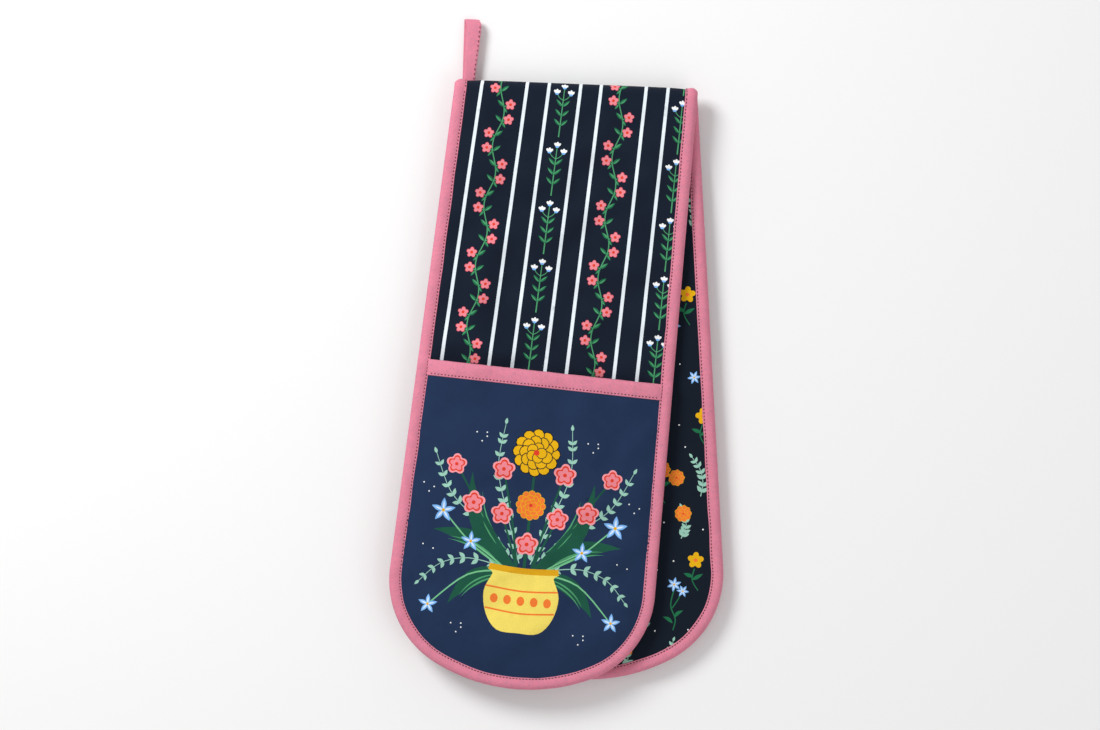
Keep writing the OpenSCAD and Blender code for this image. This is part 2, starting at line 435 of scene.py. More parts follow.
def thread(name, code):
    """Two-ply sewing thread: a twist along each stitch and a slight gloss."""
    n = Nodes(name)
    flat = n.add("ShaderNodeUVMap", uv_map="flat").outputs["UV"]
    twist = n.add("ShaderNodeTexWave", {"Vector": flat}, wave_type="BANDS", bands_direction="DIAGONAL",
                  Scale=260.0, Distortion=0.4).outputs["Fac"]
    dye = n.noise(flat, 300.0)
    colour = n.mix({7: n.spread(dye, 0.85, 1.2)}, "MULTIPLY")
    colour.inputs[6].default_value = linear(code)
    n.link(colour.outputs[2], "Base Color")
    n.link(n.spread(dye, 0.5, 0.62), "Roughness")
    bump = n.add("ShaderNodeBump", {"Height": twist}, Strength=0.4, Distance=0.06 * MM)
    n.link(bump.outputs[0], "Normal")
    n.set({"Sheen Weight": 0.15})
    return n.material


INKS = {
    "striped_ground": "141d2c", "floral_ground": "111a26", "print_ground": "1f3150",
    "lining_ground": "1a2740", "ice": "e6f0f6", "white": "f6f8f8", "stem": "4f9d6c", "leaf": "1f6e48",
    "dark_leaf": "1c5441", "light_leaf": "74bd8a", "sage": "98c9b6", "petal": "ec8791", "coral": "c94f62",
    "blush": "f49aa2", "red": "dd3f27", "yellow": "e6b012", "gold": "dda41a", "cream": "f1da66",
    "orange": "f07a33", "sky": "7fb6f2", "ice_blue": "d6e8fb", "ink": "121722",
}
inks = {name: woven("cotton_" + name, code) for name, code in INKS.items()}
tape_cloth = woven("pink_tape", "df8399", pitch=0.36, depth=0.08, shade=0.09, bias=math.pi / 4,
                   heather="bb7f95", crumple=200.0)
thread_yarn = thread("maroon_thread", "4e1020")
wadding_fibre = woven("wadding_fibre", "ece9df", pitch=1.1, depth=0.5, shade=0.05, crumple=90.0)


# ---- mesh building
def new_object(name, points, faces, uvs, materials, indices=None, sharp=None):
    """A smooth mesh with its flat coordinates as a UV map, in metres."""
    mesh = bpy.data.meshes.new(name)
    mesh.from_pydata(np.asarray(points).tolist(), [], faces)
    for material in materials:
        mesh.materials.append(material)
    if indices is not None:
        mesh.polygons.foreach_set("material_index", np.asarray(indices, np.int32))
    mesh.polygons.foreach_set("use_smooth", np.ones(len(mesh.polygons), bool))
    layer = mesh.uv_layers.new(name="flat")
    corners = np.zeros(len(mesh.loops), np.int32)
    mesh.loops.foreach_get("vertex_index", corners)
    layer.data.foreach_set("uv", (np.asarray(uvs) * MM)[corners].ravel())
    if sharp:
        keys = {tuple(sorted(edge)) for edge in sharp}
        flags = [tuple(sorted(edge.vertices)) in keys for edge in mesh.edges]
        mesh.attributes.new("sharp_edge", "BOOLEAN", "EDGE").data.foreach_set("value", flags)
    mesh.update()
    made = bpy.data.objects.new(name, mesh)
    bpy.context.scene.collection.objects.link(made)
    return made


def area(outline):
    """The area inside an outline, negative if it runs clockwise."""
    x, y = np.asarray(outline).T
    return np.sum(x * np.roll(y, -1) - np.roll(x, -1) * y) / 2


def triangulated(boundary, art, step):
    """Flat triangles that follow the outlines of the art: points, triangles, each one's top outline."""
    boundary = np.asarray(boundary)
    lowest, highest = boundary.min(axis=0), boundary.max(axis=0)
    rows = np.arange(lowest[1] + step / 2, highest[1], step * 0.87)
    grid = [(x + (step / 2 if k % 2 else 0), y)
            for k, y in enumerate(rows) for x in np.arange(lowest[0] + step / 2, highest[0], step)]
    points = [Vector(p) for p in grid]
    faces = []
    for outline in [boundary] + [shape for shape, _ in art]:
        outline = outline if area(outline) > 0 else outline[::-1]
        faces.append(list(range(len(points), len(points) + len(outline))))
        points += [Vector((float(p[0]), float(p[1]))) for p in outline]
    flat, _, triangles, _, _, owners = delaunay_2d_cdt(points, [], faces, 0, 1e-4)
    kept = [(tri, max(own)) for tri, own in zip(triangles, owners) if 0 in own]
    used = sorted({i for tri, _ in kept for i in tri})
    renumber = {old: new for new, old in enumerate(used)}
    flat = np.array([flat[i][:] for i in used])
    return flat, [[renumber[i] for i in tri] for tri, _ in kept], [top for _, top in kept]


def slab(name, boundary, art, ground, top, bottom, facing, step=GRID):
    """A closed sheet, printed on its top face. top and bottom map flat points to the frame."""
    flat, triangles, owner = triangulated(boundary, art, step)
    names = [ground] + sorted({colour for _, colour in art})
    colours = [0] + [names.index(colour) for _, colour in art]
    count = len(flat)
    points = np.concatenate([top(flat[:, 0], flat[:, 1]), bottom(flat[:, 0], flat[:, 1])])
    edges = {}
    for a, b, c in triangles:
        for edge in ((a, b), (b, c), (c, a)):
            edges[edge] = True
    rim = [edge for edge in edges if (edge[1], edge[0]) not in edges]
    faces = [list(tri) for tri in triangles]
    faces += [[i + count for i in reversed(tri)] for tri in triangles]
    faces += [[b, a, a + count, b + count] for a, b in rim]
    if facing < 0:
        faces = [list(reversed(face)) for face in faces]
    indices = [colours[top_one] for top_one in owner] + [0] * (len(triangles) + len(rim))
    sharp = rim + [(a + count, b + count) for a, b in rim]
    materials = [inks.get(colour, wadding_fibre) for colour in names]
    return new_object(name, points, faces, np.concatenate([flat, flat]), materials, indices, sharp)


def tube(name, rings, uvs, material, flip=False):
    """Quads between rings of points, one ring per place along the piece, and a flat face on each end."""
    rings = np.asarray(rings)
    count, size = rings.shape[:2]
    faces = [[i * size + j, i * size + (j + 1) % size, (i + 1) * size + (j + 1) % size, (i + 1) * size + j]
             for i in range(count - 1) for j in range(size)]
    faces += [list(reversed(range(size))), list(range((count - 1) * size, count * size))]
    if flip:
        faces = [list(reversed(face)) for face in faces]
    rims = [(base + j, base + (j + 1) % size) for base in (0, (count - 1) * size) for j in range(size)]
    return new_object(name, rings.reshape(-1, 3), faces, np.asarray(uvs).reshape(-1, 2), [material], None, rims)


def row_along(line, up):
    """A row of stitches: their places, headings and the way that each one's top faces."""
    return line, unit(np.gradient(line, axis=0)), np.tile([0.0, 0.0, up], (len(line), 1))


def stitches(name, rows):
    """Short rounded stitches, each pulled down at its two ends."""
    centres, forward, up = (np.concatenate(parts) for parts in zip(*rows))
    stations, sides, length, width = 5, 6, STITCH_LENGTH * MM, STITCH_WIDTH * MM
    t = np.linspace(-1, 1, stations)
    radius = np.sqrt(np.maximum(1 - np.abs(t) ** 3, 0.05))
    angles = np.arange(sides) * 2 * math.pi / sides
    across = np.cross(forward, up)
    points, faces, uvs = [], [], []
    for c, f, u, w in zip(centres, forward, up, across):
        base = len(points)
        for k in range(stations):
            middle = c + f * t[k] * length / 2 - u * 0.45 * width * t[k] ** 2
            for a in angles:
                reach = radius[k] * width / 2
                points.append(middle + w * math.cos(a) * reach + u * math.sin(a) * reach)
                uvs.append((t[k] * length / 2 / MM, a * width / 2 / MM))
        for k in range(stations - 1):
            for j in range(sides):
                nxt = (j + 1) % sides
                faces.append([base + k * sides + j, base + (k + 1) * sides + j,
                              base + (k + 1) * sides + nxt, base + k * sides + nxt])
        faces.append([base + j for j in range(sides)])
        faces.append([base + (stations - 1) * sides + j for j in reversed(range(sides))])
    return new_object(name, points, faces, uvs, [thread_yarn])


# ---- drawing the prints, in millimetres
def through(points, closed, per=5):
    """A smooth curve through a few points."""
    p = np.asarray(points, float)
    count = len(p)
    out = []
    for i in range(count if closed else count - 1):
        if closed:
            a, b, c, d = (p[(i + k) % count] for k in (-1, 0, 1, 2))
        else:
            a, b, c, d = (p[min(max(i + k, 0), count - 1)] for k in (-1, 0, 1, 2))
        for t in np.arange(per) / per:
            out.append(0.5 * (2 * b + (c - a) * t + (2 * a - 5 * b + 4 * c - d) * t**2
                              + (3 * b - a - 3 * c + d) * t**3))
    if not closed:
        out.append(p[-1])
    return np.array(out)


def moved(outline, x, y, turn=0.0, flip=1):
    """An outline mirrored if flip is -1, then turned, then moved to a place."""
    c, s = math.cos(turn), math.sin(turn)
    px, py = (np.asarray(outline, float) * [flip, 1]).T
    return columns(x + px * c - py * s, y + px * s + py * c)


def moved_art(art, x, y, turn=0.0, flip=1):
    return [(moved(outline, x, y, turn, flip), colour) for outline, colour in art]


def ellipse(x, y, rx, ry, turn=0.0, n=12):
    a = np.arange(n) * 2 * math.pi / n
    return moved(columns(rx * np.cos(a), ry * np.sin(a)), x, y, turn)


def spot(x, y, r, colour, n=8):
    return ellipse(x, y, r, r, 0, n), colour


def rosette(x, y, r, dip, turn):
    """The outline of a flower with five round petals."""
    petals, per = 5, 7
    a = np.arange(petals * per) * 2 * math.pi / (petals * per)
    reach = r * (1 - dip + dip * np.abs(np.cos(petals * a / 2)) ** 0.7)
    return moved(columns(reach * np.cos(a), reach * np.sin(a)), x, y, turn)


def leaf(x0, y0, x1, y1, width, bend=0.0, n=6):
    """A leaf from its base to its tip, bent to one side by a share of its length."""
    base, along = np.array([x0, y0]), np.array([x1 - x0, y1 - y0])
    side = np.array([-along[1], along[0]])
    t = np.linspace(0, 1, n + 1)
    spine = base + t[:, None] * along + (4 * t * (1 - t) * bend)[:, None] * side
    half = (np.sin(math.pi * t**0.85) * width / 2)[:, None] * side / np.linalg.norm(along)
    return np.concatenate([spine + half, (spine - half)[-2:0:-1]])


def stroke(points, start, end):
    """A brush stroke through points, its width running from start to end."""
    line = through(points, False)
    d = unit(np.gradient(line, axis=0))
    half = np.linspace(start, end, len(line))[:, None] / 2 * columns(-d[:, 1], d[:, 0])
    return np.concatenate([line + half, (line - half)[::-1]])


def sprig(points, leaves, size):
    """A sage-green stem with small leaves in pairs."""
    colour = "sage"
    line = through(points, False, 8)
    art = [(stroke(points, 0.7, 0.42), colour)]
    for k in range(leaves):
        i = int((k + 1.0) / (leaves + 0.6) * (len(line) - 2))
        at, ahead = line[i], line[i + 1] - line[i]
        heading = math.atan2(ahead[1], ahead[0])
        reach = size * (1 - 0.35 * k / leaves)
        for hand in (0.8, -0.8):
            tip = at + reach * np.array([math.cos(heading + hand), math.sin(heading + hand)])
            art.append((leaf(*at, *tip, reach * 0.5), colour))
    end = line[-1] + unit(line[-1] - line[-2]) * size * 0.7
    return art + [(leaf(*line[-1], *end, size * 0.34), colour)]


def small_bloom(x, y):
    """A flat five-petalled flower with a warm centre."""
    r, turn = 4.0, 0.3
    return [(rosette(x, y, r, 0.46, turn), "coral"), (rosette(x, y, r * 0.9, 0.48, turn), "petal"),
            spot(x, y, r * 0.27, "red")]


def two_tone_leaf(x0, y0, x1, y1, width):
    """A leaf with one half lit and the other in shade."""
    dx, dy = x1 - x0, y1 - y0
    off = 0.16 * width / math.hypot(dx, dy)
    return [(leaf(x0, y0, x1, y1, width), "leaf"),
            (leaf(x0 + 0.08 * dx - dy * off, y0 + 0.08 * dy + dx * off, x0 + 0.9 * dx - dy * off,
                  y0 + 0.9 * dy + dx * off, width * 0.42, 0.0, 5), "stem")]


# The striped print. Each repeat across the cloth has four stripes, a vine and a line of sprigs.
REPEAT = 87.9
FIRST_STRIPE = -71.6
STRIPE_OFFSETS = (0.0, 33.3, 49.5, 72.8)
STRIPE_W = 2.4
VINE_X, VINE_PITCH = 16.6, 21.7
SPRIG_X, SPRIG_PITCH = 61.2, 42.4


def vine_unit():
    """Half a wave of the vine, with a flower on each side of it and a leaf across from each flower."""
    def wave(k):
        return 2.6 * math.cos(math.pi * k / 6), -VINE_PITCH * k / 6

    art = [(stroke([wave(k) for k in range(7)], 0.8, 0.8), "stem")]
    for k, out in ((1.5, 1), (4.5, -1)):
        x, y = wave(k)
        art += two_tone_leaf(x, y, x - 5.4 * out, y + 4.6, 2.5)
        art += two_tone_leaf(x, y, x + 3.0 * out, y - 4.2, 1.8)
        art.append((stroke([(x, y), (x + 2.2 * out, y + 1.2), (x + 4.4 * out, y + 1.8)], 0.6, 0.5), "stem"))
        art += small_bloom(x + 4.6 * out, y + 2.0)
    return art


def sprig_unit():
    """An upright sprig: a straight stem, leaves in pairs and three white bells."""
    art = [(stroke([(0, -4), (0, 14), (0, 31)], 0.95, 0.6), "stem")]
    for y in (4, 11, 18):
        for hand in (-1, 1):
            art += two_tone_leaf(0, y, 5.2 * hand, y + 5, 2.1)
    for x, y in ((0, 32), (-5.2, 27.5), (5.2, 27.5)):
        if x:
            art.append((stroke([(0, 22.5), (0.6 * x, 24.5), (x, y)], 0.55, 0.45), "stem"))
        art.append((ellipse(x, y - 0.2, 1.5, 1.2, 0, 8), "sky"))
        for k in (-1, 0, 1):
            a = math.pi / 2 - 0.85 * k
            art.append((ellipse(x + 1.7 * math.cos(a), y + 1.6 * math.sin(a), 1.45, 0.95, a, 8), "white"))
    return art


def fanned(outline):
    """The striped cloth spreads a little from the fold to the mouth of the pocket."""
    x, y = np.asarray(outline, float).T
    down = np.clip(np.maximum(-y, y - FOLD_LENGTH), 0, 260) / MOUTH[FRONT] - 0.5
    return columns(x * (1 + 0.056 * down) - 3.4 * down, y)


def striped_art(low_y, high_y):
    """Stripes, vines and sprigs."""
    art = []
    stripe_y = np.linspace(high_y + 9, low_y - 9, int((high_y - low_y) / 4) + 6)
    for k in (-1, 0, 1, 2):
        for offset in STRIPE_OFFSETS:
            x = FIRST_STRIPE + k * REPEAT + offset
            if abs(x) < 112:
                left, right = x - STRIPE_W / 2, x + STRIPE_W / 2
                art.append((np.concatenate([columns(left, stripe_y), columns(right, stripe_y[::-1])]), "ice"))
    for repeat in (0, 1):
        start = FIRST_STRIPE + repeat * REPEAT
        vine = (vine_unit(), 1, start + VINE_X, 0.0, VINE_PITCH, 30)
        sprigs = (sprig_unit(), -1, start + SPRIG_X, 12.6 - 3 * repeat, SPRIG_PITCH, 40)
        for unit_art, odd, x, lag, pitch, reach in (vine, sprigs):
            first, last = math.floor((low_y - lag) / pitch) - 1, math.ceil((high_y - lag) / pitch) + 1
            for number in range(last, first - 1, -1):
                y = lag + number * pitch
                if low_y - reach < y < high_y + reach:
                    art += moved_art(unit_art, x, y, flip=odd if number % 2 else -odd)
    return [(fanned(outline), colour) for outline, colour in art]


def marigold(x, y, r, colour, edge="ink"):
    """A full round flower: rings of petals, each with a dark edge, round a warm centre."""
    art = []
    points, rings = 7, ((9, 0.70, 0.34), (5, 0.32, 0.30))
    if r > 10:
        points, rings = 10, ((12, 0.74, 0.27), (9, 0.47, 0.25), (5, 0.22, 0.22))
    for ring, (petals, reach, size) in enumerate(rings):
        for k in range(petals):
            a = 2 * math.pi * (k + 0.5 * ring) / petals
            cx, cy = x + r * reach * math.cos(a), y + r * reach * math.sin(a)
            wide = r * size * (1.0 if ring else 0.92)
            art.append((ellipse(cx, cy, r * size * 1.13, wide * 1.13, a, points), edge))
            art.append((ellipse(cx, cy, r * size * 0.97, wide * 0.97, a, points), colour))
    return art + [spot(x, y, r * 0.13, "red")]


def outlined_bloom(x, y, r):
    """A five-petalled flower, one petal up, with a red line inside its edge."""
    turn = math.pi / 2
    return [(rosette(x, y, r, 0.36, turn), "blush"), (rosette(x, y, r * 0.82, 0.42, turn), "red"),
            (rosette(x, y, r * 0.66, 0.5, turn), "petal"), spot(x, y, r * 0.17, "red")]


def star_flower(x, y, r, turn, petals=6):
    """A pale blue flower with narrow petals."""
    art = []
    for k in range(petals):
        a = turn + 2 * math.pi * k / petals
        dx, dy = math.cos(a), math.sin(a)
        art.append((leaf(x, y, x + r * dx, y + r * dy, r * 0.42), "sky"))
        art.append((leaf(x, y, x + 0.75 * r * dx, y + 0.75 * r * dy, r * 0.16), "ice_blue"))
    return art + [spot(x, y, r * 0.14, "yellow")]


def veined_leaf(x0, y0, x1, y1, width, bend):
    """A broad leaf with two light lines along it."""
    art = [(leaf(x0, y0, x1, y1, width, bend, 10), "dark_leaf")]
    base, along = np.array([x0, y0]), np.array([x1 - x0, y1 - y0])
    side = np.array([-along[1], along[0]]) / math.hypot(*along)
    for share in (0.22, -0.18):
        start = base + 0.15 * along + 0.4 * share * width * side
        art.append((leaf(*start, *(start + 0.65 * along), width * 0.1, bend * 0.8 + share * 0.05, 8), "stem"))
    return art


def dots(x, y, count):
    """A few little dots strewn round a place."""
    r = 3.6
    return [spot(x + r * (1 + 0.5 * (k % 2)) * math.cos(2.4 * k), y + r * math.sin(2.4 * k), 0.55, "white", 6)
            for k in range(count)]


PICTURE_BASE = 391.0  # from the fold to the pot's foot


def pot():
    """A plain round-shouldered pot with a band of spots."""
    side_line = [(23, 45), (22, 41), (27, 28), (24, 12), (15, 1), (0, 0)]
    art = [(through(side_line + [(-px, py) for px, py in side_line[-2::-1]], True, 4), "cream"),
           (stroke([(-25, 46), (0, 44.5), (25, 46)], 4.4, 4.4), "gold"),
           (stroke([(-26, 32), (0, 30), (26, 32)], 1.2, 1.2), "orange"),
           (stroke([(-25, 16), (0, 14), (25, 16)], 1.2, 1.2), "orange")]
    for k in range(-2, 3):
        art.append((ellipse(9.6 * k, 23 + 0.15 * abs(k), 2.8, 3.4), "orange"))
    return art


def posy():
    """The pocket's picture: a pot of flowers, the same on both sides. Heights are from the pot's foot."""
    art, heads = [(stroke([(0, 44), (0, 80), (0, 124)], 2.4, 1.6), "dark_leaf")], []
    for hand in (-1, 1):
        for points, leaves, size in (([(4, 50), (16, 84), (26, 116), (24, 148)], 12, 6.8),
                                     ([(8, 48), (36, 76), (58, 96), (71, 122)], 10, 6.8),
                                     ([(14, 46), (40, 50), (60, 44), (74, 30)], 7, 6.4)):
            art += sprig([(x * hand, y) for x, y in points], leaves, size)
        for x0, y0, x1, y1, width, bend in ((6, 46, 44, 112, 13, -0.14), (10, 44, 68, 68, 13, 0.12),
                                            (12, 44, 52, 16, 12, 0.14)):
            art += veined_leaf(x0 * hand, y0, x1 * hand, y1, width, bend * hand)
        for x, y, r in ((20, 84, 8.2), (41, 90, 8.6), (22, 116, 8.4), (56, 116, 7.6)):
            art.append((stroke([(5 * hand, 44), (0.5 * x * hand, 0.5 * (y + 34)), (x * hand, y)], 2.0, 1.2),
                        "dark_leaf"))
            heads += outlined_bloom(x * hand, y, r)
        for x, y, r in ((62, 82, 9.0), (40, 62, 7.6), (66, 14, 7.2)):
            art.append((stroke([(12 * hand, 44), (0.6 * x * hand, 0.3 * y + 34), (x * hand, y)], 1.4, 0.9),
                        "light_leaf"))
            heads += star_flower(x * hand, y, r, math.pi / 2, 5)
        for x, y, count in ((40, 138, 4), (74, 98, 3), (44, 0, 4), (70, 54, 2)):
            art += dots(x * hand, y, count)
    heads += marigold(0, 130, 16.8, "yellow") + marigold(0, 92, 10.4, "orange", "yellow")
    heads += outlined_bloom(0, 64, 8.6)
    return moved_art(art + heads + pot(), 0, -PICTURE_BASE)


TILE_LENGTH, TILE_WIDTH = 96, 90


def floral_art(low_y, high_y):
    """Scattered flowers and sprigs in a tile that repeats, each row half a tile along from the next."""
    tile = marigold(8, 14, 6.6, "orange", "yellow") + marigold(19, 8, 5.6, "orange", "yellow")
    tile = [(stroke([(9, 8), (6, -2), (10, -10)], 1.0, 0.7), "leaf")] + tile
    tile += [(leaf(7, 1, 15, 5, 3.2, 0.1), "leaf"), (leaf(6, 0, -1, 4, 3.0, -0.1), "leaf")]
    tile += sprig([(36, -6), (38, 4), (36, 14), (31, 22)], 6, 5.8)
    tile += [(stroke([(60, 24), (57, 12), (60, 2), (58, -6)], 1.0, 0.8), "leaf"),
             (stroke([(58, 10), (63, 17), (64, 21)], 0.9, 0.7), "leaf")]
    tile += star_flower(60, 27, 5.4, 0.3) + star_flower(66, 22, 4.6, 0.9)
    tile += [(leaf(59, 3, 66, 8, 2.6, 0.1), "leaf"), (leaf(58, -1, 51, 4, 2.6, -0.1), "leaf")]
    for x, y, turn in ((-14, 44, 0.2), (40, 52, 0.5)):
        tile += [(rosette(x, y, 6.0, 0.5, turn), "yellow"), spot(x, y, 1.5, "orange"),
                 (stroke([(x - 1, y - 6), (x - 3, y - 14), (x + 1, y - 22)], 0.9, 0.7), "leaf"),
                 (leaf(x - 3, y - 14, x + 5, y - 10, 2.8), "leaf"),
                 (leaf(x - 2, y - 12, x - 9, y - 9, 2.8), "leaf")]
    tile += sprig([(12, 62), (10, 72), (13, 82)], 5, 5.2) + sprig([(66, 60), (70, 70), (67, 82)], 6, 5.4)
    tile += marigold(-22, 78, 5.8, "orange", "yellow") + star_flower(34, 80, 5.0, 0.1)
    for x, y in ((26, 30), (48, 38), (2, 36), (22, 46), (54, 72), (46, 90), (0, 90), (24, 90), (60, 44),
                 (-8, 66)):
        tile.append(spot(x, y, 0.6, "white", 6))
    art = []
    for row in range(math.floor(low_y / TILE_LENGTH) - 1, math.ceil(high_y / TILE_LENGTH) + 1):
        for column in (-2, -1, 0, 1):
            art += moved_art(tile, TILE_WIDTH * (column + 0.5 * (row % 2)), TILE_LENGTH * row)
    return [(outline, colour) for outline, colour in art if np.abs(outline[:, 0]).min() < 98
            and outline[:, 1].max() > low_y and outline[:, 1].min() < high_y]


# ---- the flat pieces of a half
def half_outline(side, inset):
    """The half's cut edge, closed along the line where the fold starts."""
    path = edge_path(side, inset, GRID)[0]
    across = np.linspace(path[-1], path[0], int(2 * HALF_W / GRID))[1:-1]
    return np.concatenate([path, across])[::-1]


def pocket_outline(side, inset, hand):
    """The left or right half of a pocket's cut edge, from its mouth to its finger end."""
    path = edge_path(side, inset, GRID)[0]
    path = path[path[:, 1] < -MOUTH[side] - 1.5]
    path = path[path[:, 0] * hand > 0.5]
    path = path if hand > 0 else path[::-1]
    top, bottom = -MOUTH[side] - 1.0, -REACH[side] + inset
    edge_x = path[0][0]
    mouth = columns(np.linspace(0, edge_x, 30), top)
    middle = columns(0.0, np.linspace(bottom, top, 75)[:-1])
    outline = np.concatenate([mouth, path, middle])
    return outline if hand < 0 else outline[::-1]


def finished(piece, body, slot_name, *nodes):
    """Gives a piece its body unless body is None, and hides the CAD nodes that it stands for. slot_name is not
    used.
    """
    if body:
        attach(piece, body)
    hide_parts(*nodes)


def surface(side, height):
    """A half's surface in the frame, from its heights."""
    return lambda x, y: place(side, x, y, height(side, x, y))


def strip_print(side):
    """What is printed on a half's striped cloth, which is one cloth with the other half's, round the fold."""
    seen = MOUTH[side] + 30
    if side == FRONT:
        return striped_art(-seen, 0)
    start = [-FOLD_LENGTH * math.sin(turned(FRONT)), FOLD_LENGTH * math.cos(turned(FRONT))]
    return [(outline * [1, -1] + start, colour)
            for outline, colour in striped_art(FOLD_LENGTH, FOLD_LENGTH + seen)]


def strip(side):
    """A half's striped cloth, wadding and floral cloth."""
    word, body = WORD[side], HALF[side]
    cut = half_outline(side, TUCK)
    layers = (
        ("striped_cloth", "striped_cotton", strip_print(side), "striped_ground",
         strip_top, lift(strip_top, -CLOTH_T), 1),
        ("floral_cloth", "floral_cotton", floral_art(-REACH[side], 0), "floral_ground",
         strip_bottom, lift(strip_bottom, CLOTH_T), -1),
    )
    inner = half_outline(side, TUCK + 0.3)
    fill = slab(f"{word}_wadding_fill", inner, [], "wadding",
                surface(side, lift(strip_top, -CLOTH_T - PLY_GAP)),
                surface(side, lift(strip_bottom, CLOTH_T + PLY_GAP)), side, WADDING_GRID)
    finished(fill, body, "wadding", f"{word}_wadding")
    for kind, slot_name, art, ground, face, back, facing in layers:
        piece = slab(f"{word}_{kind}_panel", cut, art, ground, surface(side, face), surface(side, back),
                     side * facing)
        finished(piece, body, slot_name, f"{word}_{kind}")


def pocket(side):
    """A pocket's printed cloth, wadding and lining, each in a left and a right piece."""
    word = WORD[side] + "_pocket"
    drop = REACH[FRONT] - REACH[side]
    art = [(outline * [side, 1] + [0, drop], colour) for outline, colour in posy()]
    for hand, name in ((-1, "left"), (1, "right")):
        cut = pocket_outline(side, TUCK + 1.0, hand)
        fill = slab(f"{word}_wadding_{name}", pocket_outline(side, TUCK + 1.3, hand), [], "wadding",
                    surface(side, lift(pocket_top, -CLOTH_T - PLY_GAP)),
                    surface(side, lift(pocket_bottom, CLOTH_T + PLY_GAP)), side, WADDING_GRID)
        finished(fill, None, "wadding", f"{word}_wadding")
        face = slab(f"{word}_print_{name}", cut, art, "print_ground", surface(side, pocket_top),
                    surface(side, lift(pocket_top, -CLOTH_T)), side)
        finished(face, None, "pocket_print_cotton", f"{word}_print", f"{word}_seam")
        inside = slab(f"{word}_lining_{name}", cut, [], "lining_ground", surface(side, pocket_bottom),
                      surface(side, lift(pocket_bottom, CLOTH_T)), -side)
        finished(inside, None, "lining_cotton", f"{word}_lining")
        for piece in (fill, face, inside):
            bow_open(piece)


def bow_open(piece):
    """Bakes the piece's placement into its points."""
    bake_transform(piece)


# ---- binding
def tape_profile(top, bottom, puff, groove):
    """The binding's cross-section as (distance from the edge, height) round its outside and back inside."""
    middle = (top + bottom) / 2
    outer = [(BINDING_W, 0.02), (BINDING_W + 0.06, 0.35), (BINDING_W - 0.25, 0.60),
             (STITCH_E + 0.45, 0.62), (STITCH_E, 0.62 - groove), (STITCH_E - 0.6, 0.70),
             (6.0, 0.75 + 0.6 * puff), (4.4, 0.8 + puff), (2.8, 0.6 + 0.8 * puff), (1.4, 0.1), (0.5, -1.0)]
    upper = [(e, top + h) for e, h in outer]
    lower = [(e, bottom - h) for e, h in reversed(outer)]
    ring = upper + [(0.05, middle)] + lower
    inner = [(BINDING_W - 0.1, bottom + 0.02), (6.0, bottom - 0.15 * puff), (3.4, bottom + 0.3),
             (1.6, bottom + 0.9), (0.6 + TAPE_T, middle), (1.6, top - 0.9), (3.4, top - 0.3),
             (6.0, top + 0.15 * puff), (BINDING_W - 0.1, top - 0.02)]
    return np.array(ring + inner)


def binding_heights(side, y):
    """The heights of the cloth faces that the binding clamps, above and below."""
    into = smooth((-y - MOUTH[side] + 4) / 7)
    return 3.95 + 3.05 * into, np.full(np.shape(y), 1.05)


def edge_sway(side, s):
    """How far the binding's inner edge and its stitches wander."""
    return ripple(s, 20 + side, 60, 18, 0.16)


def binding_rings(side):
    """The binding's cross-sections along the edge, as local x, y and height. Near the fold they slide along
    the edge, and the first and last lie in the plane where the fold starts."""
    p, m, s = edge_path(side, 0.0, STITCH_PITCH / 2)
    top, bottom = binding_heights(side, p[:, 1])
    sway = edge_sway(side, s)
    swell = ripple(s, 23 + side, 30, 9, 0.10)
    crimp = np.where(np.arange(len(s)) % 2 == 0, 0.42, 0.22)
    rings, flats = [], []
    a = turned(side)
    for i in range(len(p)):
        section = tape_profile(top[i], bottom[i], 0.45 + swell[i], crimp[i])
        e, h = section[:, 0] + sway[i] * (section[:, 0] / BINDING_W), section[:, 1]
        x, y = p[i, 0] - m[i, 0] * e, p[i, 1] - m[i, 1] * e
        near = smooth(1 - min(s[i], s[-1] - s[i]) / 12)
        along = np.array([-m[i, 1], m[i, 0]])
        off = x * math.sin(a) + y * math.cos(a)
        rate = along[0] * math.sin(a) + along[1] * math.cos(a)
        slide = -near * (off - (p[i, 0] * math.sin(a) + p[i, 1] * math.cos(a))) / rate
        rings.append(columns(x + along[0] * slide, y + along[1] * slide, h))
        flats.append(columns(s[i], lengths_along(section)))
    return np.array(rings), np.array(flats), s


def row_of_stitches(side, face):
    """The edge's row of stitches on its outer (1) or inner (-1) face."""
    p, m, s = edge_path(side, 0.0, STITCH_PITCH)
    top, bottom = binding_heights(side, p[:, 1])
    h = top + 0.52 if face > 0 else bottom - 0.52
    e = STITCH_E + edge_sway(side, s) * STITCH_E / BINDING_W + ripple(s, 70 + side, 20, 6, 0.05)
    return row_along(place(side, p[:, 0] - m[:, 0] * e, p[:, 1] - m[:, 1] * e, h)[1:-1], side * face)


def edge_binding(side):
    """A half's binding tape and its stitches, with the tape's flat size and its first and last sections."""
    word = WORD[side]
    rings, flats, s = binding_rings(side)
    world = place(side, *np.moveaxis(rings, -1, 0))
    piece = tube(f"{word}_binding_tape", world, flats, tape_cloth, flip=side > 0)
    finished(piece, HALF[side], "pink_tape", f"{word}_edge_binding")
    sewn = stitches(f"{word}_edge_stitches", [row_of_stitches(side, face) for face in (1, -1)])
    finished(sewn, HALF[side], "maroon_thread", f"{word}_edge_stitching")
    tape_w = float(flats[0, -1, 1]) / 2
    flat = (tape_w * MM, float(s[-1]) * MM)
    return piece, sewn, flat, rings[0], rings[-1]


